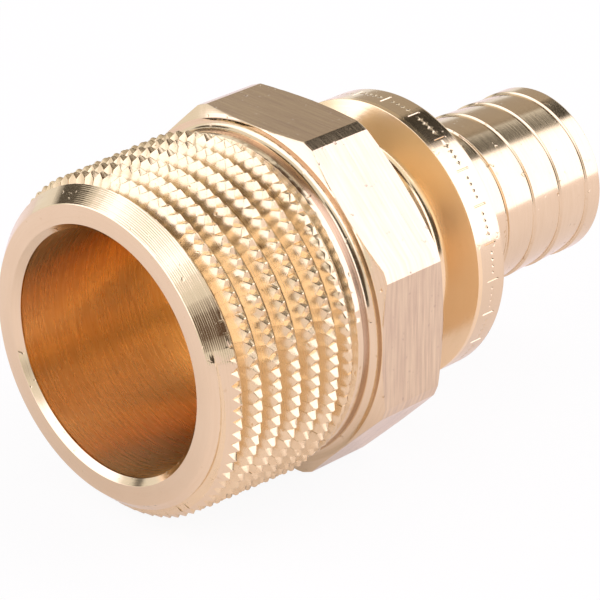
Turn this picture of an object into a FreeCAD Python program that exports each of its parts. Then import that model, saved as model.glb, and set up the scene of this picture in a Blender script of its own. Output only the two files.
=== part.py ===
import FreeCAD, Part
import os
import Sketcher

# A brass adapter that joins a plastic pipe to a tapped port: a tapered male pipe
# thread, an octagonal spanner section, a collar and a ribbed spigot for the pipe.
# It is turned from one bar, so it is a single solid. +X runs along the axis, from
# the thread's end face at X = 0 to the spigot's end, and +Z is up. A flat of the
# octagon faces down, and the adapter lies on it.

doc = FreeCAD.newDocument("PexMaleAdapter")

# Driving dimensions, in millimetres and degrees.
dimensions = [
    ("pitch", 2.309, "thread: one turn's advance"),
    ("turns", 7, "thread: turns from the end face to the last groove"),
    ("formDepth", 0.640327, "thread: crest to root, in pitches"),
    ("formFlat", 0.1667, "thread: width of crest and root, in pitches"),
    ("crestRadius", 16.3, "thread: crest radius at the end face"),
    ("ringDepth", 1.38, "thread: depth of its last groove"),
    ("taper", 16.0, "thread: length per unit of diameter"),
    ("leadRadius", 14.3, "thread: outer radius of the end face"),
    ("leadAngle", 42.0, "thread: lead chamfer from the axis"),
    ("reliefRadius", 16.0, "relief: radius between thread and octagon"),
    ("reliefLength", 2.54, "relief: last groove's centre to octagon"),
    ("spannerLength", 8.1, "octagon: front wall to rear wall"),
    ("spannerSides", 8, "octagon: number of flats"),
    ("acrossFlats", 34.0, "octagon: flat to opposite flat"),
    ("cornerRise", 1.15, "octagon: turned corners above the flats"),
    ("cornerChamfer", 0.5, "octagon: chamfer's length along the axis"),
    ("cornerDepth", 1.15, "octagon: chamfer's depth across the axis"),
    ("neckRadius", 10.9, "neck: radius between octagon and collar"),
    ("neckLength", 6.5, "neck: octagon to collar"),
    ("neckBevel", 0.4, "neck: bevels in its corners"),
    ("collarRadius", 14.2, "collar: outer radius"),
    ("collarSlope", 1.45, "collar: length of its conical front"),
    ("collarRim", 3.55, "collar: length of its rim"),
    ("ribRadius", 8.65, "spigot: radius over the ribs"),
    ("ribFall", 0.21, "spigot: depth of each rib's taper"),
    ("ribPitch", 3.9, "spigot: one rib to the next"),
    ("ribRise", 0.42, "spigot: length of a rib's steep side"),
    ("ribCount", 4, "spigot: number of ribs"),
    ("landLength", 3.12, "spigot: plain land behind the collar"),
    ("noseLength", 1.727, "spigot: land after the last rib"),
    ("noseChamfer", 0.45, "spigot: length of its end chamfer"),
    ("portRadius", 11.88, "bore: radius of the wide part"),
    ("portDepth", 21.0, "bore: depth of the wide part"),
    ("portChamfer", 0.6, "bore: chamfer at the thread's end"),
    ("pipeBoreRadius", 6.75, "bore: radius through the spigot"),
    ("pipeChamfer", 0.4, "bore: chamfer at the spigot's end"),
    ("cutterRise", 0.2, "cuts reach this far outside the metal"),
]

# Sizes that follow from the driving ones.
derived = [
    ("threadDepth", "=formDepth * pitch"),
    ("flatWidth", "=formFlat * pitch"),
    ("threadLength", "=turns * pitch"),
    ("threadSlope", "=0.5 / taper"),
    ("taperAngle", "=atan(threadSlope) / 1deg"),
    ("flankRun", "=(0.5 - formFlat) / formDepth"),
    ("grooveHalf", "=(pitch - flatWidth) / 2 + cutterRise * flankRun"),
    ("helixStart", "=pitch * -1"),
    ("crestStart", "=crestRadius + helixStart * threadSlope"),
    ("crestEnd", "=crestRadius + threadLength * threadSlope"),
    ("leadSlope", "=tan(leadAngle * 1deg)"),
    ("leadLength", "=(crestRadius - leadRadius) / (leadSlope - threadSlope)"),
    ("leadEnd", "=leadRadius + leadLength * leadSlope"),
    ("spannerStart", "=threadLength + reliefLength"),
    ("spannerEnd", "=spannerStart + spannerLength"),
    ("flatHeight", "=acrossFlats / 2"),
    ("cornerRadius", "=flatHeight + cornerRise"),
    ("faceRadius", "=cornerRadius - cornerDepth"),
    ("flatHalf", "=(cornerRadius + cutterRise) * tan(180deg / spannerSides)"),
    ("collarStart", "=spannerEnd + neckLength"),
    ("coneSlope", "=(collarRadius - neckRadius) / collarSlope"),
    ("rimStart", "=collarStart + collarSlope"),
    ("collarEnd", "=rimStart + collarRim"),
    ("ribStart", "=collarEnd + landLength"),
    ("noseStart", "=ribStart + ribCount * ribPitch + noseLength"),
    ("overallLength", "=noseStart + noseChamfer"),
]

sheet = doc.addObject("Spreadsheet::Sheet", "Dimensions")
for row, (alias, value, note) in enumerate(dimensions, start=1):
    sheet.set("A%d" % row, note)
    sheet.set("B%d" % row, str(value))
    sheet.setAlias("B%d" % row, alias)
for row, (alias, formula) in enumerate(derived, start=len(dimensions) + 1):
    sheet.set("B%d" % row, formula)
    sheet.setAlias("B%d" % row, alias)
doc.recompute()

body = doc.addObject("PartDesign::Body", "AdapterBody")
body.Label = "adapter_body"
doc.recompute()


def originPart(role):
    return [part for part in body.Origin.OriginFeatures if part.Role == role][0]


def sketchOn(role, name):
    sketch = body.newObject("Sketcher::SketchObject", name)
    sketch.AttachmentSupport = [(originPart(role), "")]
    sketch.MapMode = "FlatFace"
    return sketch


def inSheet(formula):
    # The formula with every alias written as a cell of the sheet.
    words = formula.split(" ")
    names = [alias for alias, *rest in dimensions + derived]
    return " ".join("Dimensions." + word if word in names else word for word in words)


def drawOutline(sketch, corners):
    # A closed outline of straight lines. Each corner is a pair of formulas, and "0"
    # puts it on the sketch's own axis. Every other place is a bound dimension.
    places = []
    for across, up in corners:
        x = float(sketch.evalExpression(inSheet(across)))
        y = float(sketch.evalExpression(inSheet(up)))
        places.append(FreeCAD.Vector(x, y, 0))
    count = len(places)
    for index in range(count):
        line = Part.LineSegment(places[index], places[(index + 1) % count])
        sketch.addGeometry(line, False)
    for index in range(count):
        following = (index + 1) % count
        sketch.addConstraint(Sketcher.Constraint("Coincident", index, 2, following, 1))
    for index, (across, up) in enumerate(corners):
        for kind, formula, place, axis in (
            ("DistanceX", across, places[index].x, -2),
            ("DistanceY", up, places[index].y, -1),
        ):
            if formula == "0":
                sketch.addConstraint(Sketcher.Constraint("PointOnObject", index, 1, axis))
                continue
            number = sketch.addConstraint(Sketcher.Constraint(kind, -1, 1, index, 1, place))
            sketch.setExpression("Constraints[%d]" % number, inSheet(formula))
    doc.recompute()


def volumeNow():
    doc.recompute()
    return body.Shape.Volume


def checkCut(feature, before):
    # Each cut has to take metal away.
    after = volumeNow()
    if not after < before:
        raise RuntimeError(feature.Label + " cuts nothing")
    print("%-16s %9.1f mm3 left" % (feature.Label, after))
    return after


# The turned outside, from the end face to the spigot's end.
outside = sketchOn("XZ_Plane", "OutsideProfile")
drawOutline(outside, [
    ("0", "0"),
    ("0", "leadRadius"),
    ("leadLength", "leadEnd"),
    ("threadLength", "crestEnd"),
    ("threadLength", "reliefRadius"),
    ("spannerStart", "reliefRadius"),
    ("spannerStart", "faceRadius"),
    ("spannerStart + cornerChamfer", "cornerRadius"),
    ("spannerEnd - cornerChamfer", "cornerRadius"),
    ("spannerEnd", "faceRadius"),
    ("spannerEnd", "neckRadius + neckBevel"),
    ("spannerEnd + neckBevel", "neckRadius"),
    ("collarStart - neckBevel", "neckRadius"),
    ("collarStart + neckBevel / coneSlope", "neckRadius + neckBevel"),
    ("rimStart", "collarRadius"),
    ("collarEnd", "collarRadius"),
    ("collarEnd", "ribRadius"),
    ("noseStart", "ribRadius"),
    ("overallLength", "ribRadius - noseChamfer"),
    ("overallLength", "0"),
])
turned = body.newObject("PartDesign::Revolution", "TurnedOutside")
turned.Profile = outside
turned.ReferenceAxis = (outside, ["H_Axis"])
turned.Angle = 360.0
blankVolume = volumeNow()

# One flat of the octagon, repeated round the axis.
flat = sketchOn("YZ_Plane", "FlatProfile")
flat.setExpression("AttachmentOffset.Base.z", "Dimensions.spannerStart")
drawOutline(flat, [
    ("flatHalf * -1", "flatHeight"),
    ("flatHalf", "flatHeight"),
    ("flatHalf", "cornerRadius + cutterRise"),
    ("flatHalf * -1", "cornerRadius + cutterRise"),
])
spannerFlat = body.newObject("PartDesign::Pocket", "SpannerFlat")
spannerFlat.Profile = flat
spannerFlat.Reversed = True
spannerFlat.setExpression("Length", "Dimensions.spannerLength")
oneFlatVolume = checkCut(spannerFlat, blankVolume)
octagon = body.newObject("PartDesign::PolarPattern", "Octagon")
octagon.Originals = [spannerFlat]
octagon.Axis = (originPart("X_Axis"), [""])
octagon.Angle = 360.0
octagon.setExpression("Occurrences", "Dimensions.spannerSides")
body.Tip = octagon
octagonVolume = checkCut(octagon, oneFlatVolume)

# A rib's taper and steep side, repeated along the spigot.
rib = sketchOn("XZ_Plane", "RibProfile")
drawOutline(rib, [
    ("ribStart", "ribRadius"),
    ("ribStart + ribPitch - ribRise", "ribRadius - ribFall"),
    ("ribStart + ribPitch", "ribRadius"),
    ("ribStart + ribPitch", "ribRadius + cutterRise"),
    ("ribStart", "ribRadius + cutterRise"),
])
ribCut = body.newObject("PartDesign::Groove", "RibCut")
ribCut.Profile = rib
ribCut.ReferenceAxis = (rib, ["H_Axis"])
ribCut.Angle = 360.0
oneRibVolume = checkCut(ribCut, octagonVolume)
ribs = body.newObject("PartDesign::LinearPattern", "Ribs")
ribs.Originals = [ribCut]
ribs.Direction = (originPart("X_Axis"), [""])
ribs.setExpression("Length", "Dimensions.ribPitch * (Dimensions.ribCount - 1)")
ribs.setExpression("Occurrences", "Dimensions.ribCount")
body.Tip = ribs
ribVolume = checkCut(ribs, oneRibVolume)

# The bore: wide behind the thread, narrow through the spigot.
bore = sketchOn("XZ_Plane", "BoreProfile")
drawOutline(bore, [
    ("0", "0"),
    ("0", "portRadius + portChamfer"),
    ("portChamfer", "portRadius"),
    ("portDepth", "portRadius"),
    ("portDepth", "pipeBoreRadius"),
    ("overallLength - pipeChamfer", "pipeBoreRadius"),
    ("overallLength", "pipeBoreRadius + pipeChamfer"),
    ("overallLength", "0"),
])
boreCut = body.newObject("PartDesign::Groove", "BoreCut")
boreCut.Profile = bore
boreCut.ReferenceAxis = (bore, ["H_Axis"])
boreCut.Angle = 360.0
boreVolume = checkCut(boreCut, ribVolume)


def threadSection(name, centre, crest, depth):
    # The thread's groove in section: a truncated V, a little taller than the crest.
    section = sketchOn("XZ_Plane", name)
    drawOutline(section, [
        (centre + " - flatWidth / 2", crest + " - " + depth),
        (centre + " + flatWidth / 2", crest + " - " + depth),
        (centre + " + grooveHalf", crest + " + cutterRise"),
        (centre + " - grooveHalf", crest + " + cutterRise"),
    ])
    return section


# The thread's last groove is a plain ring in front of the relief.
ringSection = threadSection("RingSection", "threadLength", "crestEnd", "ringDepth")
ring = body.newObject("PartDesign::Groove", "LastGroove")
ring.Profile = ringSection
ring.ReferenceAxis = (ringSection, ["H_Axis"])
ring.Angle = 360.0
ringVolume = checkCut(ring, boreVolume)

# The tapered thread is right-handed. Its path starts a turn ahead of the end face
# and ends in the last groove, one piece for each turn.
helixSection = threadSection("HelixSection", "helixStart", "crestStart", "threadDepth")
path = doc.addObject("Part::Helix", "ThreadPath")
acrossUp = FreeCAD.Vector(0, 0, 1)
acrossSide = FreeCAD.Vector(0, -1, 0)
alongAxis = FreeCAD.Vector(1, 0, 0)
path.Placement.Rotation = FreeCAD.Rotation(acrossUp, acrossSide, alongAxis, "ZXY")
path.SegmentLength = 1.0
path.setExpression("Placement.Base.x", "Dimensions.helixStart")
path.setExpression("Pitch", "Dimensions.pitch")
path.setExpression("Height", "Dimensions.threadLength - Dimensions.helixStart")
path.setExpression("Radius", "Dimensions.crestStart")
path.setExpression("Angle", "Dimensions.taperAngle")
doc.recompute()
thread = body.newObject("PartDesign::SubtractivePipe", "Thread")
thread.Profile = helixSection
thread.Spine = (path, ["Edge%d" % number for number, edge in enumerate(path.Shape.Edges, start=1)])
thread.Mode = "Frenet"
checkCut(thread, ringVolume)

# Every object has to be sound before anything is written.
for item in doc.Objects:
    if "Invalid" in item.State or "Error" in item.State:
        raise RuntimeError(item.Label + " failed")
solid = body.Shape
if solid.isNull() or not solid.isValid() or len(solid.Solids) != 1:
    raise RuntimeError("the body isn't one sound solid")
print("%-16s %9.3f mm" % ("overall length", sheet.get("overallLength")))

os.makedirs("parts", exist_ok=True)
solid.exportStep("parts/%s.step" % body.Label)
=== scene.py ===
import math
import random
import bmesh
import bpy
from mathutils import Matrix, Vector, noise


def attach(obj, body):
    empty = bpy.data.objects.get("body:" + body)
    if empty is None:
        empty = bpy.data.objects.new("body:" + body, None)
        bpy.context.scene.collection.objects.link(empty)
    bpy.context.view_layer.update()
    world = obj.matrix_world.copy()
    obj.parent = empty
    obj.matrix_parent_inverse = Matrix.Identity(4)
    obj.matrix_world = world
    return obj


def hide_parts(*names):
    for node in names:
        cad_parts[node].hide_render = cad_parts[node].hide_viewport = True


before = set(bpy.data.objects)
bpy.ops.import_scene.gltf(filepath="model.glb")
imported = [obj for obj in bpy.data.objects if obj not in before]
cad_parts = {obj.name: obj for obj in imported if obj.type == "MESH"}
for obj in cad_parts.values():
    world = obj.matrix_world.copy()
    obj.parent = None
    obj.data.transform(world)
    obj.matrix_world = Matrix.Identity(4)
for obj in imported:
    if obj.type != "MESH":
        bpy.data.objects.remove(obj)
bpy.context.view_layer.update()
print("frame loaded", sorted(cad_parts))

# Everything is laid out in millimetres: x runs along the axis from the threaded end,
# radius is measured from the axis, and angle from straight up towards the camera side.
mm = 0.001
wholeTurn = 2 * math.pi
chance = random.Random(7)

points = []
faces = []
faceFinish = []
finishNames = ["turned", "lead", "corner", "plain", "wall", "cone", "thread", "flats", "bore"]


def addPoint(x, radius, angle):
    points.append((x, -radius * math.sin(angle), radius * math.cos(angle)))
    return len(points) - 1


def addRing(x, radius, angles):
    return [addPoint(x, radius, angle) for angle in angles]


def addFace(corners, finish):
    faces.append(corners)
    faceFinish.append(finishNames.index(finish))


def joinRings(front, back, finish):
    count = len(front)
    for step in range(count):
        following = (step + 1) % count
        addFace((front[step], front[following], back[following], back[step]), finish)


def stitchRings(front, frontAngles, back, backAngles, finish):
    # triangles between two rings that have different numbers of points
    i, j = 0, 0
    frontRound = list(frontAngles) + [frontAngles[0] + wholeTurn]
    backRound = list(backAngles) + [backAngles[0] + wholeTurn]
    while i < len(front) or j < len(back):
        stepFront = j == len(back) or (i < len(front) and frontRound[i + 1] <= backRound[j + 1])
        a, b = front[i % len(front)], back[j % len(back)]
        if stepFront:
            i += 1
            addFace((a, front[i % len(front)], b), finish)
        else:
            j += 1
            addFace((a, back[j % len(back)], b), finish)


def evenAngles(count):
    return [wholeTurn * step / count for step in range(count)]


def limit(value):
    return max(0.0, min(1.0, value))


def roundOutline(outline, steps=3):
    # outline: (x, radius, rounding) for each corner; a place just outside each
    # rounding keeps the wide faces beside it flat, where a side is long enough
    hold, sideShare = 0.04, 0.45
    places = []
    for index, (x, radius, rounding) in enumerate(outline):
        if rounding == 0 or index in (0, len(outline) - 1):
            places.append((x, radius))
            continue
        corner = Vector((x, radius))
        before = Vector(outline[index - 1][:2]) - corner
        after = Vector(outline[index + 1][:2]) - corner
        half = before.angle(after) / 2
        reach = rounding / math.tan(half)
        inward = (before.normalized() + after.normalized()).normalized()
        centre = corner + inward * rounding / math.sin(half)
        first = corner + before.normalized() * reach - centre
        last = corner + after.normalized() * reach - centre
        sweep = first.angle_signed(last)
        if reach + hold < before.length * sideShare:
            places.append(tuple(corner + before.normalized() * (reach + hold)))
        for step in range(steps + 1):
            spot = centre + Matrix.Rotation(-sweep * step / steps, 2) @ first
            places.append((spot.x, spot.y))
        if reach + hold < after.length * sideShare:
            places.append(tuple(corner + after.normalized() * (reach + hold)))
    return places


def turn(places, angles, finish, start=None):
    # one ring for each place of an outline, joined in turn
    rings = [] if start is None else [start]
    rings += [addRing(x, radius, angles) for x, radius in places]
    for front, back in zip(rings, rings[1:]):
        joinRings(front, back, finish)
    return rings[0], rings[-1]


# The tapered thread, its lead chamfer, its last ring groove and the plain relief.
thread = {
    "pitch": 2.309,
    "turns": 7,
    "depth": 1.4785,
    "flankSlope": 0.52057,          # run along the axis for each millimetre of height
    "flatHalf": 0.1924,             # half the width of a crest or a root
    "crestRadius": 16.3,            # at the end face
    "taper": 1 / 32,
    "ringDepth": 1.38,
    "lastDrop": 0.36,               # how much lower the last ridge is
    "dropOver": (0.05, 0.1),        # where it starts to go down, and over what share of a turn
    "crestFall": 0.12,              # how far below the crest its rounding starts
    "rootSteps": ((0.05, 0.1), (0.13, 0.25)),   # heights over a root, and the most of its flank
    "hold": 0.04,                   # how far inside a root's edge a place keeps the root level
    "leadRadius": 14.3,
    "leadSlope": 0.9004,
    "leadRound": 0.05,
    "leadEnd": 3.0,
    "notches": 83,                  # V notches across the crests, in one turn
    "notchDepth": 0.55,
    "notchFirst": 1.85,             # degrees from straight up to the start of a notch
    "crestShare": 0.10,             # share of the notch pitch that stays a crest
    "bottomHalf": 0.006,            # half of a notch's bottom, as a share of the notch pitch
    "bottomInset": 0.05,            # how far inside the flanks the bottom's level part ends
    "bottomSpread": 0.025,          # unevenness of the notches' bottoms, edges and depths
    "edgeSpread": 0.008,
    "depthSpread": 0.05,
    "leastNotch": 0.1,              # a notch that is less deep than this has no lip
    "lip": 0.07,                    # metal that each notch pressed out over the flanks
    "tear": 0.010,                  # how far the torn edges wander
    "rootTear": 0.002,
    "shallowLoss": (0.26, 0.06),    # lost to the lead: where a notch gets shallow, and over how much
    "shallowShare": 0.4,            # how much of its depth a notch loses there
    "followLoss": (0.34, 0.10),     # lost to the lead: where a notch stays up, and over how much
    "leastSpread": 0.25,            # share of its width that a notch keeps at least on the lead
    "fullSpread": 0.9,              # share of its depth at which a notch has its whole width
    "scallop": 0.06,                # how far each notch dents the relief's edge
    "scallopSpread": 0.01,
    "reliefRadius": 16.0,
    "reliefFoot": 0.08,             # share of the relief's height that has a place of its own
    "reliefEdge": 0.02,
    "reliefPlaces": (17.3, 17.6),
    "reliefRound": 0.65,
    "paintedShadeZone": (17.25, 18.2),    # from where to where the relief beside the octagon's wall gets the darker corner colour, a painted shade in the concave corner
    "wallStart": 18.703,
    "wallRadius": 16.88,
}
rowsPerTurn = 12
columnsPerNotch = 4


def layNotches():
    # four columns for each notch: its first edge, its bottom (two) and its last edge
    pitch = wholeTurn / thread["notches"]
    start = math.radians(thread["notchFirst"])
    edge, half = thread["crestShare"] / 2, thread["bottomHalf"]
    angles = []
    for number in range(thread["notches"]):
        bottom = 0.5 + chance.gauss(0, thread["bottomSpread"])
        first = edge + chance.gauss(0, thread["edgeSpread"])
        last = 1 - edge + chance.gauss(0, thread["edgeSpread"])
        for share in (first, bottom - half, bottom + half, last):
            angles.append(start + pitch * (number + share))
    return angles


threadAngles = layNotches()


def atBottom(column):
    return column % columnsPerNotch in (1, 2)


def crestAt(x):
    return thread["crestRadius"] + x * thread["taper"]


def leadAt(x):
    return thread["leadRadius"] + x * thread["leadSlope"]


def onLead(x, radius):
    return x < thread["leadEnd"] and abs(radius - leadAt(x)) < 0.002


def notchTop(middle, notch):
    # where the lead chamfer takes a little off the ridge, the notch goes that much
    # deeper, and where it takes more, hardly a notch is left
    slope, crest = thread["flankSlope"], crestAt(middle)
    meeting = crest + (middle + thread["flatHalf"]) / slope - thread["leadRadius"]
    meeting /= thread["leadSlope"] + 1 / slope
    lost = max(0.0, crest - leadAt(meeting))
    start, over = thread["shallowLoss"]
    top = crest - notch * (1 - thread["shallowShare"] * limit((lost - start) / over))
    end, over = thread["followLoss"]
    return top - lost * limit((end - lost) / over)


def ridgeRows(left, right, notch, drop):
    # the places from one groove's centre to the next, over the ridge between them
    slope, flat = thread["flankSlope"], thread["flatHalf"]
    tear, rootTear = thread["tear"], thread["rootTear"]
    middle = (left[0] + right[0]) / 2
    if right[0] - left[0] < 2 * flat:
        return [(middle, min(left[1], right[1]))] * (rowsPerTurn - 1)
    top = notchTop(middle, notch) if notch > drop else crestAt(middle) - drop
    leftEdge = left[0] + flat + (top - left[1]) * slope
    rightEdge = right[0] - flat - (top - right[1]) * slope
    if leftEdge > rightEdge:
        top -= (leftEdge - rightEdge) / (2 * slope)
        leftEdge = rightEdge = (leftEdge + rightEdge) / 2
    leftRise = max(0.0, top - left[1])
    rightRise = max(0.0, top - right[1])
    leftFoot, rightFoot = left[0] + flat, right[0] - flat
    middle = (leftEdge + rightEdge) / 2
    if notch > drop + thread["leastNotch"]:
        # the bottom of a notch, with its ends pressed out a little
        push = thread["lip"] * (0.5 + chance.random())
        inset = thread["bottomInset"]
        crest = [(leftEdge - push, top + 0.5 * push), (leftEdge + inset, top), (middle, top),
                 (rightEdge - inset, top), (rightEdge + 0.4 * push, top)]
    else:
        fall = thread["crestFall"]
        reach = flat + fall * slope
        crest = [(middle - reach, top - fall), (middle - 0.8 * flat, top - 0.25 * fall), (middle, top),
                 (middle + 0.8 * flat, top - 0.25 * fall), (middle + reach, top - fall)]
    rows = [(leftFoot - thread["hold"], left[1])]
    for most, share in thread["rootSteps"]:
        height = min(most, share * leftRise)
        rows.append((leftFoot + height * slope + chance.gauss(0, rootTear), left[1] + height))
    rows += [(x + chance.gauss(0, tear), radius + chance.gauss(0, 0.6 * tear)) for x, radius in crest]
    for most, share in reversed(thread["rootSteps"]):
        height = min(most, share * rightRise)
        rows.append((rightFoot - height * slope + chance.gauss(0, rootTear), right[1] + height))
    rows.append((rightFoot + thread["hold"], right[1]))
    return rows


def threadColumn(column, share):
    # one column from before the end face to the ring groove; each groove lies share of
    # a pitch further on than straight up
    pitch, turns = thread["pitch"], thread["turns"]
    grooves = []
    for number in range(-1, turns):
        x = pitch * (number + share)
        depth = thread["depth"]
        if number == turns - 1:
            depth += (thread["ringDepth"] - depth) * share ** 4
        grooves.append((x, crestAt(x) - depth))
    ringX = pitch * turns
    grooves.append((ringX, crestAt(ringX) - thread["ringDepth"]))
    dropStart, dropOver = thread["dropOver"]
    places = []
    for number, (left, right) in enumerate(zip(grooves, grooves[1:])):
        notch = 0.0
        if atBottom(column):
            notch = thread["notchDepth"] * (1 + chance.gauss(0, thread["depthSpread"]))
        drop = thread["lastDrop"] * limit((number + share - turns - dropStart) / dropOver)
        places.append(left)
        places += ridgeRows(left, right, notch, drop)
    places.append(grooves[-1])
    return places


def cutByLead(places):
    # whatever stands above the lead chamfer is cut down to it, with a true corner
    start = thread["leadRound"]
    cut = [(x, min(radius, leadAt(x))) if x > start else (start, leadAt(start)) for x, radius in places]
    for index in range(len(places) - 1):
        (xA, rA), (xB, rB) = places[index], places[index + 1]
        overA, overB = rA - leadAt(xA), rB - leadAt(xB)
        if overA * overB < 0 and xA > start and xB > start:
            share = overA / (overA - overB)
            crossing = (xA + (xB - xA) * share, rA + (rB - rA) * share)
            cut[index if overA > 0 else index + 1] = crossing
    return cut


def spreadNotch(column, profiles):
    # on the lead chamfer a notch gets wider as it gets deeper, so that its sides stay flat
    own = threadAngles[column]
    if atBottom(column):
        return [own] * len(profiles[column])
    bottom = column + 1 if column % columnsPerNotch == 0 else column - 1
    angles = []
    for (x, radius), (_, bottomRadius) in zip(profiles[column], profiles[bottom]):
        share = 1.0
        if x > 0.1 and onLead(x, radius):
            share = (radius - bottomRadius) / (thread["fullSpread"] * thread["notchDepth"])
            share = max(thread["leastSpread"], min(1.0, share))
        angles.append(threadAngles[bottom] + (own - threadAngles[bottom]) * share)
    return angles


def reliefColumn(scallop):
    # from the ring groove over the plain relief to the octagon's wall
    radius, slope = thread["reliefRadius"], thread["flankSlope"]
    ringX = thread["pitch"] * thread["turns"]
    root = crestAt(ringX) - thread["ringDepth"]
    rise = radius - root
    foot = ringX + thread["flatHalf"]
    edge = foot + rise * slope
    low, bevel, hold = thread["reliefFoot"], thread["reliefEdge"], thread["hold"]
    first, second = thread["reliefPlaces"]
    places = [
        (foot - hold, root),
        (foot + low * rise * slope, root + low * rise),
        (edge - bevel + scallop, radius - bevel),
        (edge + hold + scallop, radius),
        (first, radius),
    ]
    corner = [
        (second, radius, 0),
        (thread["wallStart"], radius, thread["reliefRound"]),
        (thread["wallStart"], thread["wallRadius"], 0),
    ]
    return places + roundOutline(corner, 6)


def cornerOnLead(corner):
    x, y, z = points[corner]
    return onLead(x, math.hypot(y, z))


def threadZone():
    count = len(threadAngles)
    start, face = thread["leadRound"], thread["leadRadius"]
    front = [(0.0, face - start), (0.3 * start, face - 0.2 * start)]
    shares = [angle / wholeTurn for angle in threadAngles]
    profiles = [cutByLead(threadColumn(column, share)) for column, share in enumerate(shares)]
    columns = []
    for column, angle in enumerate(threadAngles):
        scallop = thread["scallop"] if atBottom(column) else 0.0
        scallop += chance.gauss(0, thread["scallopSpread"])
        middle = zip(profiles[column], spreadNotch(column, profiles))
        here = [addPoint(x, radius, angle) for x, radius in front]
        here += [addPoint(x, radius, moved) for (x, radius), moved in middle]
        here += [addPoint(x, radius, angle) for x, radius in reliefColumn(scallop)]
        columns.append(here)
    lead = len(front)
    centre = lead + (thread["turns"] + 1) * rowsPerTurn
    zoneStart, zoneEnd = thread["paintedShadeZone"]
    for column in range(count):
        here = columns[column]
        if column + 1 < count:
            beyond = columns[column + 1]
        else:
            # the helix has come round: each row meets the row of the next turn
            first = columns[0]
            beyond = []
            for row in range(len(first)):
                if row < lead or row > centre:
                    beyond.append(first[row])
                else:
                    beyond.append(first[min(row + rowsPerTurn, centre)])
        for row in range(len(here) - 1):
            corners = [here[row], beyond[row], beyond[row + 1], here[row + 1]]
            corners = [corner for place, corner in enumerate(corners) if corner != corners[place - 1]]
            if len(corners) < 3:
                continue
            finish = "lead" if row < centre else "turned"
            if lead <= row <= centre + 2 and not all(cornerOnLead(corner) for corner in corners):
                finish = "thread"
            # the relief faces next to the octagon's wall take the corner finish, whose darker colour is
            # painted shade
            if zoneStart < points[here[row]][0] and points[here[row + 1]][0] < zoneEnd:
                finish = "corner"
            addFace(tuple(corners), finish)
    return [column[0] for column in columns], [column[-1] for column in columns]


faceOuter, wallInner = threadZone()
print("thread laid out", len(points), "points")

# The octagonal spanner section.
octagon = {
    "start": 18.703,
    "end": 26.803,
    "flatRadius": 17.0,
    "cornerRadius": 18.15,
    "chamferSlope": 2.3,
    "chamferSteps": (0.10, 0.86),   # shares of the chamfer's height that have places of their own
    "edge": 0.04,
    "columnsPerFlat": 44,
    "cornerClear": 0.009,           # no even column is nearer to the edge of a turned corner
    "cornerOffsets": (-0.004, -0.001, 0.001, 0.004),
    "rowsBetween": 6,
    "nick": 0.22,                   # depth of the worst nick in an edge
    "nickNoise": (24, 5.7, 2.4),    # how often nicks come on the way round, across, and which ones
    "nickLevel": 0.34,
}
halfFlat = math.pi / 8


def octagonAngles():
    # even columns with extra ones where the flats meet the turned corners
    edge = math.acos(octagon["flatRadius"] / octagon["cornerRadius"])
    count = octagon["columnsPerFlat"]
    local = [-halfFlat + 2 * halfFlat * step / count for step in range(count)]
    local = [angle for angle in local if abs(abs(angle) - edge) > octagon["cornerClear"]]
    local += [sign * (edge + offset) for sign in (-1, 1) for offset in octagon["cornerOffsets"]]
    local.sort()
    return [2 * halfFlat * flat + angle for flat in range(8) for angle in local]


def octagonRadius(angle):
    local = (angle + halfFlat) % (2 * halfFlat) - halfFlat
    return min(octagon["flatRadius"] / math.cos(local), octagon["cornerRadius"])


def nickAt(angle, end):
    # a few short dents along each end of the octagon
    around, across, pick = octagon["nickNoise"]
    dent = noise.noise(Vector((angle * around, end * across, pick)))
    return octagon["nick"] * max(0.0, dent - octagon["nickLevel"])


def octagonZone():
    angles = octagonAngles()
    edge, slope = octagon["edge"], octagon["chamferSlope"]
    foot, head = octagon["chamferSteps"]
    low = octagon["flatRadius"]
    rows = []
    for angle in angles:
        radius = octagonRadius(angle)
        rise = radius - low
        reach = edge + rise / slope
        ends = []
        for end in (0, 1):
            nick = nickAt(angle, end)
            ends.append([
                (0.0, low - edge),
                (0.3 * edge, low - 0.3 * edge),
                (edge + foot * rise / slope, low + foot * rise),
                (edge + head * rise / slope, low + head * rise - 0.5 * nick),
                (reach - 0.3 * edge, radius - 0.35 * edge - nick),
                (reach + edge + nick, radius),
                (reach + 2.5 * edge + nick, radius),
            ])
        front, back = ends
        inner = front[-1][0]
        length = octagon["end"] - octagon["start"]
        column = [(octagon["start"] + x, r) for x, r in front]
        between = octagon["rowsBetween"]
        for step in range(1, between):
            x = inner + (length - inner - back[-1][0]) * step / between
            column.append((octagon["start"] + x, radius))
        column += [(octagon["end"] - x, r) for x, r in reversed(back)]
        rows.append([addPoint(x, r, angle) for x, r in column])
    count = len(rows)
    for column in range(count):
        here, beyond = rows[column], rows[(column + 1) % count]
        for row in range(len(here) - 1):
            # the chamfers and the edges beside them are turned, the rest is milled
            finish = "flats" if 4 <= row < len(here) - 5 else "turned"
            addFace((here[row], beyond[row], beyond[row + 1], here[row + 1]), finish)
    return angles, [row[0] for row in rows], [row[-1] for row in rows]


flatAngles, octagonFront, octagonBack = octagonZone()
stitchRings(wallInner, threadAngles, octagonFront, flatAngles, "turned")
print("octagon laid out", len(points), "points")

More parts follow.
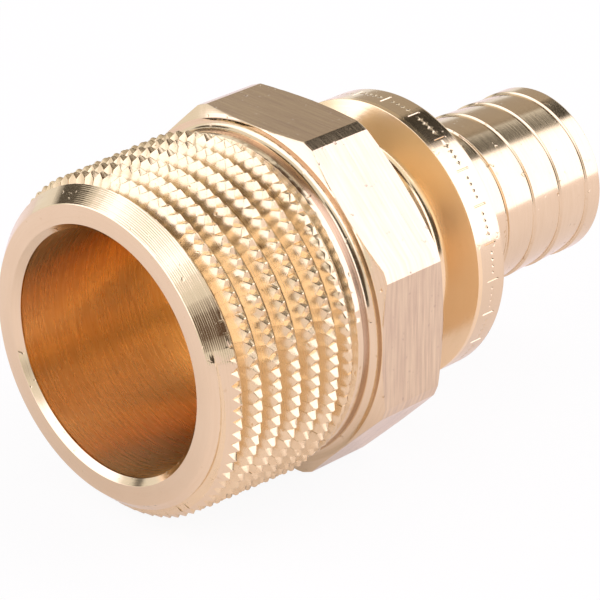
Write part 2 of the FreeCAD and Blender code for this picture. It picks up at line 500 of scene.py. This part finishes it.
# The neck and the collar's conical front.
collar = {
    "wallRadii": (16.6, 16.3, 14.0, 11.6),      # places down the octagon's rear wall
    "wallEnd": 11.5,
    "neckStart": 26.803,
    "neckEnd": 33.303,
    "neckRadius": 10.9,
    "neckFoot": 0.5,            # the roundings at its two ends
    "neckRound": 0.8,
    "rimStart": 34.753,
    "rimEnd": 38.303,
    "rimRadius": 14.2,
    "rimRound": 0.06,
    "rimPlain": (0.5, 0.2),     # how far the outlines before and behind it reach over the rim
}
plainAngles = evenAngles(208)
wallPlaces = [(collar["neckStart"], radius) for radius in collar["wallRadii"]]
neckPlaces = roundOutline([
    (collar["neckStart"], collar["wallEnd"], 0),
    (collar["neckStart"], collar["neckRadius"], collar["neckFoot"]),
    (collar["neckEnd"], collar["neckRadius"], collar["neckRound"]),
    (collar["rimStart"], collar["rimRadius"], collar["rimRound"]),
    (collar["rimStart"] + collar["rimPlain"][0], collar["rimRadius"], 0),
], 5)
wallFirst, wallLast = turn(wallPlaces, plainAngles, "wall")
rimFront = turn(neckPlaces, plainAngles, "cone", wallLast)[1]
stitchRings(octagonBack, flatAngles, wallFirst, plainAngles, "wall")

# The rim carries a plain row of stamped ticks and dots.
rimMarks = {
    "start": 0.6,               # from the rim's front edge, and from its rear edge
    "end": 0.3,
    "middle": 36.7,
    "depth": 0.09,
    "groups": 24,
    "tickLength": 1.5,
    "tickHalf": 0.075,
    "tickSteps": (-0.08, -0.03, 0.03, 0.1),     # places about a tick's end
    "tickMiddle": -0.4,
    "dotRadius": 0.12,
    "dots": (0.24, 0.42, 0.60, 0.78),   # places between one tick and the next
    "soft": 0.03,
}
markSteps = (-0.17, -0.11, -0.045, 0.045, 0.11, 0.17)


def stampDepth(x, angle):
    pitch = wholeTurn / rimMarks["groups"]
    radius = collar["rimRadius"]
    local = (angle / pitch) % 1.0
    along = min(local, 1 - local) * pitch * radius
    across = abs(x - rimMarks["middle"])
    nearest = max(along - rimMarks["tickHalf"], across - rimMarks["tickLength"] / 2)
    for place in rimMarks["dots"]:
        gap = abs(local - place) * pitch * radius
        nearest = min(nearest, math.hypot(gap, across) - rimMarks["dotRadius"])
    return rimMarks["depth"] * limit(0.5 - nearest / (2 * rimMarks["soft"]))


def rimZone():
    pitch = wholeTurn / rimMarks["groups"]
    angles = []
    for group in range(rimMarks["groups"]):
        for place in (0.0,) + rimMarks["dots"]:
            angles += [pitch * (group + place) + step / collar["rimRadius"] for step in markSteps]
    middle, end = rimMarks["middle"], rimMarks["tickLength"] / 2
    steps = [-end + step for step in rimMarks["tickSteps"]] + [rimMarks["tickMiddle"]]
    places = [middle + step for step in steps]
    places += [middle + step for step in markSteps]
    places += [middle - step for step in reversed(steps)]
    places = [collar["rimStart"] + rimMarks["start"]] + places + [collar["rimEnd"] - rimMarks["end"]]
    rings = []
    for x in places:
        rings.append([addPoint(x, collar["rimRadius"] - stampDepth(x, angle), angle) for angle in angles])
    for front, back in zip(rings, rings[1:]):
        joinRings(front, back, "plain")
    return angles, rings[0], rings[-1]


rimAngles, rimFirst, rimLast = rimZone()
stitchRings(rimFront, plainAngles, rimFirst, rimAngles, "plain")

# The ribbed spigot, and the bore back to the threaded end.
spigot = {
    "radius": 8.65,
    "footRound": 0.25,
    "ribStart": 41.423,
    "ribPitch": 3.9,
    "ribFall": 0.21,
    "ribRise": 0.15,
    "ribFoot": 0.12,
    "ribCount": 4,
    "noseStart": 58.75,
    "noseRound": 0.12,
    "noseRadius": 8.2,
    "end": 59.2,
    "endRound": 0.06,
    "edge": 0.04,
    "boreRadius": 6.75,
    "boreChamfer": 0.4,
    "boreFirst": 50.0,          # where the spigot's outline ends inside the bore
    "borePlaces": (46.0, 42.0, 38.0, 34.0, 30.0, 26.0),
}
port = {
    "radius": 11.88,
    "depth": 21.0,
    "before": 24.0,             # the places behind the shoulder and in front of it
    "after": 16.0,
    "shoulderEdge": 0.1,
    "round": 0.3,
    "places": (12.5, 9.0, 5.5, 2.0, 0.8),
    "chamferStart": 0.75,
    "chamfer": 0.6,
    "edge": 0.04,
    "faceRadius": 13.0,
}


def spigotOutline():
    edge = spigot["edge"]
    outline = [
        (collar["rimEnd"] - collar["rimPlain"][1], collar["rimRadius"], 0),
        (collar["rimEnd"], collar["rimRadius"], collar["rimRound"]),
        (collar["rimEnd"], spigot["radius"], spigot["footRound"]),
    ]
    for rib in range(spigot["ribCount"]):
        start = spigot["ribStart"] + rib * spigot["ribPitch"]
        end = start + spigot["ribPitch"]
        outline.append((start, spigot["radius"], edge))
        outline.append((end - spigot["ribRise"], spigot["radius"] - spigot["ribFall"], spigot["ribFoot"]))
    outline += [
        (end, spigot["radius"], edge),
        (spigot["noseStart"], spigot["radius"], spigot["noseRound"]),
        (spigot["end"], spigot["noseRadius"], spigot["endRound"]),
        (spigot["end"], spigot["boreRadius"] + spigot["boreChamfer"], edge),
        (spigot["end"] - spigot["boreChamfer"], spigot["boreRadius"], edge),
        (spigot["boreFirst"], spigot["boreRadius"], 0),
    ]
    return outline


spigotFront, boreBack = turn(roundOutline(spigotOutline(), 2), plainAngles, "turned")
stitchRings(rimLast, rimAngles, spigotFront, plainAngles, "plain")

borePlaces = [(x, spigot["boreRadius"]) for x in spigot["borePlaces"]]
borePlaces += roundOutline([
    (port["before"], spigot["boreRadius"], 0),
    (port["depth"], spigot["boreRadius"], port["shoulderEdge"]),
    (port["depth"], port["radius"], port["round"]),
    (port["after"], port["radius"], 0),
])
borePlaces += [(x, port["radius"]) for x in port["places"]]
chamferPlaces = roundOutline([
    (port["chamferStart"], port["radius"], 0),
    (port["chamfer"], port["radius"], port["edge"]),
    (0.0, port["radius"] + port["chamfer"], port["edge"]),
    (0.0, port["faceRadius"], 0),
])
boreLast = turn(borePlaces, plainAngles, "bore", boreBack)[1]
faceInner = turn(chamferPlaces, plainAngles, "plain", boreLast)[1]
stitchRings(faceInner, plainAngles, faceOuter, threadAngles, "plain")
print("spigot and bore laid out", len(points), "points")


# Finishes. All of them are one brass, cut by different tools; the corner, cone and bore colours also carry
# painted shade and painted reflection. fine, broad and feed are lines per millimetre; their cuts and the
# pits are heights in thousandths of a millimetre.
brass = {
    "colour": (0.79, 0.63, 0.43),
    "deep": (0.71, 0.53, 0.34),
    "spreadTurn": 0.25,         # the gloss spreads along the axis
    "lumps": {"fine": 3.0, "broad": 2.4},       # how soon the lines change on their way round
    "lineDetail": 3.0,
    "cloud": (260.0, 4.0),      # scale and detail of the patches
    "specks": (1500.0, 1.0),    # scale and detail of the pits
    "speckLevel": 0.705,
    "speckGain": 12.0,
    "speckTone": 0.03,
    "contrast": {"cloud": 2.5, "fine": 3.0},
    "mattBase": -0.05,
    "mattLines": 0.08,
    "mattCloud": 0.03,
    "feedAcross": 1.8,          # the feed lines also run over faces that stand across the axis
    "feedWander": 5.0,
    "finishes": {
        "turned": {
            "roughness": 0.14, "spread": 0.7, "fine": 6.0, "fineCut": 5.0, "broad": 2.0, "broadCut": 1.5,
            "feed": 4.1, "feedCut": 0.3, "pits": 26.0, "streak": 0.35, "cloud": 0.20},
        "lead": {
            "roughness": 0.13, "spread": 0.55, "fine": 6.0, "fineCut": 8.0, "broad": 2.0, "broadCut": 3.0,
            "feed": 3.9, "feedCut": 1.7, "pits": 20.0, "streak": 0.25, "cloud": 0.20},
        # the corner's darker colours are painted shade in the concave corner by the octagon's wall; its
        # roughness is the finish's own
        "corner": {
            "colour": (0.58, 0.40, 0.26), "deep": (0.38, 0.25, 0.15),
            "roughness": 0.20, "spread": 0.4, "fine": 6.0, "fineCut": 5.0, "broad": 2.0, "broadCut": 3.0,
            "feed": 3.0, "feedCut": 0.2, "pits": 16.0, "streak": 0.50, "cloud": 0.30},
        "plain": {
            "roughness": 0.13, "spread": 0.3, "fine": 5.0, "fineCut": 4.0, "broad": 1.2, "broadCut": 4.0,
            "feed": 3.0, "feedCut": 0.3, "pits": 16.0, "streak": 0.16, "cloud": 0.20},
        "wall": {
            "roughness": 0.32, "spread": 0.2, "fine": 4.0, "fineCut": 3.0, "broad": 1.0, "broadCut": 3.0,
            "feed": 3.0, "feedCut": 0.1, "pits": 6.0, "streak": 0.15, "cloud": 0.20},
        # the cone's brighter, more golden colours are a painted reflection of the octagon's rear face
        "cone": {
            "colour": (0.93, 0.72, 0.46), "deep": (0.85, 0.63, 0.36),
            "roughness": 0.16, "spread": 0.5, "fine": 4.0, "fineCut": 3.0, "broad": 1.0, "broadCut": 3.0,
            "feed": 3.0, "feedCut": 0.1, "pits": 6.0, "streak": 0.15, "cloud": 0.20},
        "thread": {
            "colour": (0.82, 0.65, 0.42), "deep": (0.75, 0.55, 0.32),
            "roughness": 0.26, "spread": 0.1, "fine": 5.0, "fineCut": 5.0, "broad": 1.6, "broadCut": 6.0,
            "feed": 3.0, "feedCut": 0.1, "pits": 20.0, "streak": 0.25, "cloud": 0.35},
        "flats": {
            "deep": (0.59, 0.44, 0.32),
            "roughness": 0.15, "spread": 0.5, "fine": 3.2, "fineCut": 22.0, "broad": 0.9, "broadCut": 14.0,
            "feed": 3.0, "feedCut": 0.0, "pits": 24.0, "streak": 0.75, "cloud": 0.20},
        # the bore's orange and darker orange colours are painted reflection and shade, the tint that many
        # bounces inside the bore give the brass
        "bore": {
            "colour": (0.98, 0.69, 0.32), "deep": (0.83, 0.47, 0.16),
            "roughness": 0.27, "spread": 1.0, "fine": 4.0, "fineCut": 16.0, "broad": 1.2, "broadCut": 8.0,
            "feed": 3.0, "feedCut": 0.2, "pits": 16.0, "streak": 0.60, "cloud": 0.20},
    },
}


def makeBrass(name):
    settings = brass["finishes"][name]
    colour = settings.get("colour", brass["colour"])
    deep = settings.get("deep", brass["deep"])
    material = bpy.data.materials.new("brass_" + name)
    material.use_nodes = True
    tree = material.node_tree
    nodes, links = tree.nodes, tree.links
    shader = nodes["Principled BSDF"]
    shader.inputs["Metallic"].default_value = 1.0
    shader.inputs["Anisotropic"].default_value = settings["spread"]
    shader.inputs["Anisotropic Rotation"].default_value = brass["spreadTurn"]

    def calculate(operation, first, second=None):
        node = nodes.new("ShaderNodeMath")
        node.operation = operation
        for socket, value in zip(node.inputs, (first, second)):
            if value is None:
                continue
            if isinstance(value, (int, float)):
                socket.default_value = value
            else:
                links.new(value, socket)
        return node.outputs[0]

    def widen(value, amount):
        # spreads a noise out over the whole of 0 to 1
        wide = calculate("ADD", calculate("MULTIPLY", value, amount), 0.5 - 0.5 * amount)
        return calculate("MINIMUM", calculate("MAXIMUM", wide, 0.0), 1.0)

    place = nodes.new("ShaderNodeTexCoord")
    apart = nodes.new("ShaderNodeSeparateXYZ")
    links.new(place.outputs["Object"], apart.inputs[0])
    x, y, z = apart.outputs
    radius = calculate("SQRT", calculate("ADD", calculate("MULTIPLY", y, y), calculate("MULTIPLY", z, z)))
    side = calculate("DIVIDE", y, radius)
    up = calculate("DIVIDE", z, radius)
    around = nodes.new("ShaderNodeTangent")
    around.direction_type = "RADIAL"
    around.axis = "X"
    links.new(around.outputs[0], shader.inputs["Tangent"])

    def ringNoise(kind):
        # noise drawn out into rings round the axis, as a turning tool leaves it
        lines, lumps = settings[kind] / mm, brass["lumps"][kind]
        joined = nodes.new("ShaderNodeCombineXYZ")
        links.new(calculate("MULTIPLY", x, lines), joined.inputs[0])
        links.new(calculate("MULTIPLY", side, lumps), joined.inputs[1])
        links.new(calculate("MULTIPLY", up, lumps), joined.inputs[2])
        grain = nodes.new("ShaderNodeTexNoise")
        grain.noise_dimensions = "4D"
        grain.inputs["Scale"].default_value = 1.0
        grain.inputs["Detail"].default_value = brass["lineDetail"]
        links.new(joined.outputs[0], grain.inputs["Vector"])
        if name != "flats":
            links.new(calculate("MULTIPLY", radius, lines), grain.inputs["W"])
        return grain.outputs["Fac"]

    def patchNoise(scale, detail):
        patches = nodes.new("ShaderNodeTexNoise")
        patches.inputs["Scale"].default_value = scale
        patches.inputs["Detail"].default_value = detail
        links.new(place.outputs["Object"], patches.inputs["Vector"])
        return patches.outputs["Fac"]

    fineLines = ringNoise("fine")
    broadLines = ringNoise("broad")
    cloudy = patchNoise(*brass["cloud"])
    specks = calculate("SUBTRACT", patchNoise(*brass["specks"]), brass["speckLevel"])
    specks = calculate("MAXIMUM", specks, 0.0)
    specks = calculate("MINIMUM", calculate("MULTIPLY", specks, brass["speckGain"]), 1.0)

    tone = nodes.new("ShaderNodeMix")
    tone.data_type = "RGBA"
    tone.clamp_factor = True
    tone.inputs[6].default_value = (*colour, 1)     # 6 and 7 are its colours, as outputs[2] is
    tone.inputs[7].default_value = (*deep, 1)
    worn = calculate("MULTIPLY", widen(cloudy, brass["contrast"]["cloud"]), settings["cloud"])
    streaks = calculate("MULTIPLY", widen(fineLines, brass["contrast"]["fine"]), settings["streak"])
    worn = calculate("ADD", worn, streaks)
    worn = calculate("ADD", worn, calculate("MULTIPLY", specks, brass["speckTone"] * settings["pits"]))
    links.new(worn, tone.inputs[0])
    links.new(tone.outputs[2], shader.inputs["Base Color"])

    base = settings["roughness"] + brass["mattBase"]
    matt = calculate("ADD", calculate("MULTIPLY", fineLines, brass["mattLines"]), base)
    matt = calculate("ADD", matt, calculate("MULTIPLY", cloudy, brass["mattCloud"]))
    links.new(matt, shader.inputs["Roughness"])

    along = calculate("MULTIPLY", x, settings["feed"] * 2 * math.pi / mm)
    across = calculate("MULTIPLY", radius, settings["feed"] * brass["feedAcross"] * math.pi / mm)
    wander = calculate("MULTIPLY", broadLines, brass["feedWander"])
    travel = calculate("SINE", calculate("ADD", calculate("ADD", along, across), wander))
    height = calculate("ADD", calculate("MULTIPLY", broadLines, settings["broadCut"]),
                       calculate("MULTIPLY", fineLines, settings["fineCut"]))
    height = calculate("ADD", height, calculate("MULTIPLY", travel, settings["feedCut"]))
    height = calculate("SUBTRACT", height, calculate("MULTIPLY", specks, settings["pits"]))
    bump = nodes.new("ShaderNodeBump")
    bump.inputs["Strength"].default_value = 1.0
    bump.inputs["Distance"].default_value = 0.001 * mm
    links.new(height, bump.inputs["Height"])
    links.new(bump.outputs["Normal"], shader.inputs["Normal"])
    return material


def makeAdapter():
    sharpAngle = math.radians(33)
    mesh = bpy.data.meshes.new("adapter")
    mesh.from_pydata([tuple(mm * value for value in point) for point in points], [], faces)
    for name in finishNames:
        mesh.materials.append(makeBrass(name))
    mesh.polygons.foreach_set("material_index", faceFinish)
    work = bmesh.new()
    work.from_mesh(mesh)
    bmesh.ops.remove_doubles(work, verts=work.verts, dist=0.003 * mm)
    bmesh.ops.dissolve_degenerate(work, dist=0.001 * mm, edges=work.edges)
    bmesh.ops.recalc_face_normals(work, faces=work.faces)
    loose = [edge for edge in work.edges if not edge.is_manifold]
    triangles = sum(len(face.verts) - 2 for face in work.faces)
    print("adapter mesh", len(work.verts), "points", triangles, "triangles", len(loose), "open edges")
    for face in work.faces:
        face.smooth = True
    for edge in work.edges:
        edge.smooth = not (edge.is_manifold and edge.calc_face_angle(0) > sharpAngle)
    work.to_mesh(mesh)
    work.free()
    piece = bpy.data.objects.new("adapter", mesh)
    bpy.context.scene.collection.objects.link(piece)
    return piece


adapter = makeAdapter()
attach(adapter, "root")
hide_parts("adapter_body")
print("adapter made")

# The room: a pale floor, soft lamps, cards that only reflections see, and a plain white
# surround. Azimuth 0 looks along +Y from the adapter and 90 along +X, in degrees.
room = {
    "floorLevel": -17.0 * mm,
    "floorSize": 0.6,
    "floorSides": 64,
    "floorRoughness": 0.9,
    "floorColour": (0.95, 0.81, 0.91),
    # share of plain white that the camera and the brass see; the rest keeps the shadow
    "floorWhite": (0.93, 0.35),
    "middle": (0.03, 0.0, 0.0),
    "distance": 0.7,
    "diffuseLight": 0.55,
    "lamps": {
        # azimuth, elevation, width, height, radiance
        "lamp_side": (137, 30, 57, 60, 2.1),
        "lamp_front": (-68, 37, 74, 32, 1.9),
        "lamp_top": (95, 68, 40, 20, 1.3),
    },
    "cards": {
        # azimuths, elevations, colour, softness of the edges in degrees, distance
        "card_side": ((98, 166), (-8, 55), (2.10, 2.07, 2.45), 2, 2.4),
        "card_front": ((-114, -25), (5, 54), (2.10, 2.07, 2.45), 5, 2.4),
        "card_over": ((20, 150), (55, 88), (0.09, 0.05, 0.03), 4, 1.95),
        "card_taupe": ((38, 70), (4, 48), (0.49, 0.43, 0.37), 4, 2.1),
        "card_dark": ((60, 98), (37, 53), (0.04, 0.035, 0.03), 2, 1.9),
        "card_camera": ((-159, -119), (0, 34), (0.13, 0.08, 0.055), 11, 2.0),
        "card_left": ((-19, 6), (11, 36), (0.11, 0.10, 0.09), 3, 2.0),
        "card_right": ((165, 216), (-4, 66), (0.09, 0.08, 0.07), 4, 2.05),
    },
    "cardStep": 8,                  # degrees between the rows of a card
    "cardFade": (0, 0.25, 0.5, 0.75),
    "camera": {
        "lens": 192.0,
        "sensor": 36.0,
        "clip": (0.01, 20.0),
        "place": (-0.1679, -0.1937, 0.1315),
        "forward": (0.6334, 0.6355, -0.4416),
        "right": (0.7083, -0.7060, 0.0),
    },
}
plainWhite = (1, 1, 1, 1)


def lookFrom(azimuth, elevation):
    a, e = math.radians(azimuth), math.radians(elevation)
    return Vector((math.sin(a) * math.cos(e), math.cos(a) * math.cos(e), math.sin(e)))


def makeFloor():
    half, level, sides = room["floorSize"], room["floorLevel"], room["floorSides"]
    middleX, middleY = room["middle"][:2]
    rim = [(middleX + half * math.cos(angle), middleY + half * math.sin(angle), level)
           for angle in evenAngles(sides)]
    mesh = bpy.data.meshes.new("floor")
    mesh.from_pydata(rim, [], [tuple(range(sides))])
    material = bpy.data.materials.new("pale_floor")
    material.use_nodes = True
    nodes, links = material.node_tree.nodes, material.node_tree.links
    shader = nodes["Principled BSDF"]
    shader.inputs["Base Color"].default_value = (*room["floorColour"], 1)
    shader.inputs["Roughness"].default_value = room["floorRoughness"]
    shader.inputs["Specular IOR Level"].default_value = 0.0
    path = nodes.new("ShaderNodeLightPath")
    shares = []
    for ray, amount in zip(("Is Camera Ray", "Is Glossy Ray"), room["floorWhite"]):
        share = nodes.new("ShaderNodeMath")
        share.operation = "MULTIPLY"
        share.inputs[1].default_value = amount
        links.new(path.outputs[ray], share.inputs[0])
        shares.append(share)
    total = nodes.new("ShaderNodeMath")
    total.operation = "ADD"
    white = nodes.new("ShaderNodeEmission")
    white.inputs["Color"].default_value = plainWhite
    white.inputs["Strength"].default_value = 1.0
    mix = nodes.new("ShaderNodeMixShader")
    links.new(shares[0].outputs[0], total.inputs[0])
    links.new(shares[1].outputs[0], total.inputs[1])
    links.new(total.outputs[0], mix.inputs[0])
    links.new(shader.outputs[0], mix.inputs[1])
    links.new(white.outputs[0], mix.inputs[2])
    links.new(mix.outputs[0], nodes["Material Output"].inputs[0])
    mesh.materials.append(material)
    floor = bpy.data.objects.new("floor", mesh)
    bpy.context.scene.collection.objects.link(floor)


def makeWorld():
    world = bpy.data.worlds.new("surround")
    bpy.context.scene.world = world
    world.use_nodes = True
    nodes, links = world.node_tree.nodes, world.node_tree.links
    nodes.clear()
    out = nodes.new("ShaderNodeOutputWorld")
    path = nodes.new("ShaderNodeLightPath")
    dim = nodes.new("ShaderNodeBackground")
    white = nodes.new("ShaderNodeBackground")
    mix = nodes.new("ShaderNodeMixShader")
    seen = nodes.new("ShaderNodeMath")
    seen.operation = "ADD"
    seen.use_clamp = True
    dim.inputs["Color"].default_value = plainWhite
    dim.inputs["Strength"].default_value = room["diffuseLight"]
    white.inputs["Color"].default_value = plainWhite
    white.inputs["Strength"].default_value = 1.0
    links.new(path.outputs["Is Camera Ray"], seen.inputs[0])
    links.new(path.outputs["Is Glossy Ray"], seen.inputs[1])
    links.new(seen.outputs[0], mix.inputs[0])
    links.new(dim.outputs[0], mix.inputs[1])
    links.new(white.outputs[0], mix.inputs[2])
    links.new(mix.outputs[0], out.inputs[0])


def makeLamp(name, azimuth, elevation, width, height, radiance):
    distance = room["distance"]
    light = bpy.data.lights.new(name, "AREA")
    light.shape = "RECTANGLE"
    light.size = 2 * distance * math.tan(math.radians(width / 2))
    light.size_y = 2 * distance * math.tan(math.radians(height / 2))
    light.energy = radiance * math.pi * light.size * light.size_y
    lamp = bpy.data.objects.new(name, light)
    towards = lookFrom(azimuth, elevation)
    lamp.location = Vector(room["middle"]) + towards * distance
    lamp.rotation_euler = towards.to_track_quat("Z", "Y").to_euler()
    lamp.visible_glossy = False     # the cards are what the brass reflects
    bpy.context.scene.collection.objects.link(lamp)


def cardSteps(low, high, soft):
    # places from one edge to the other with how much the card covers there
    inner = high - low - 2 * soft
    count = max(1, round(inner / room["cardStep"]))
    fade = [(share, share * share * (3 - 2 * share)) for share in room["cardFade"]]
    steps = [(low + soft * share, cover) for share, cover in fade]
    steps += [(low + soft + inner * step / count, 1.0) for step in range(count + 1)]
    steps += [(high - soft * share, cover) for share, cover in reversed(fade)]
    return steps


def makeCard(name, azimuths, elevations, colour, soft, distance):
    # a curved card with faded edges, which only reflections see
    columns, rows = cardSteps(*azimuths, soft), cardSteps(*elevations, soft)
    corners = [Vector(room["middle"]) + lookFrom(azimuth, elevation) * distance
               for elevation, up in rows for azimuth, across in columns]
    wide = len(columns)
    quads = [(row * wide + step, row * wide + step + 1, (row + 1) * wide + step + 1, (row + 1) * wide + step)
             for row in range(len(rows) - 1) for step in range(wide - 1)]
    mesh = bpy.data.meshes.new(name)
    mesh.from_pydata(corners, [], quads)
    cover = mesh.attributes.new("cover", "FLOAT", "POINT")
    cover.data.foreach_set("value", [up * across for elevation, up in rows for azimuth, across in columns])
    material = bpy.data.materials.new(name)
    material.use_nodes = True
    material.cycles.emission_sampling = "NONE"
    nodes, links = material.node_tree.nodes, material.node_tree.links
    nodes.remove(nodes["Principled BSDF"])
    glow = nodes.new("ShaderNodeEmission")
    glow.inputs["Color"].default_value = (*colour, 1)
    clear = nodes.new("ShaderNodeBsdfTransparent")
    fade = nodes.new("ShaderNodeAttribute")
    fade.attribute_name = "cover"
    mix = nodes.new("ShaderNodeMixShader")
    links.new(fade.outputs["Fac"], mix.inputs[0])
    links.new(clear.outputs[0], mix.inputs[1])
    links.new(glow.outputs[0], mix.inputs[2])
    links.new(mix.outputs[0], nodes["Material Output"].inputs[0])
    mesh.materials.append(material)
    card = bpy.data.objects.new(name, mesh)
    bpy.context.scene.collection.objects.link(card)
    card.visible_camera = False
    card.visible_diffuse = False
    card.visible_shadow = False


def makeCamera():
    view = room["camera"]
    data = bpy.data.cameras.new("camera")
    data.lens = view["lens"]
    data.sensor_width = view["sensor"]
    data.clip_start, data.clip_end = view["clip"]
    camera = bpy.data.objects.new("camera", data)
    forward = Vector(view["forward"]).normalized()
    right = Vector(view["right"]).normalized()
    up = right.cross(forward)
    turned = Matrix((right, up, -forward)).transposed()
    camera.matrix_world = Matrix.Translation(view["place"]) @ turned.to_4x4()
    bpy.context.scene.collection.objects.link(camera)
    bpy.context.scene.camera = camera


makeFloor()
makeWorld()
for name, values in room["lamps"].items():
    makeLamp(name, *values)
for name, values in room["cards"].items():
    makeCard(name, *values)
makeCamera()
bpy.context.scene.view_settings.view_transform = "Standard"
print("room and camera made")
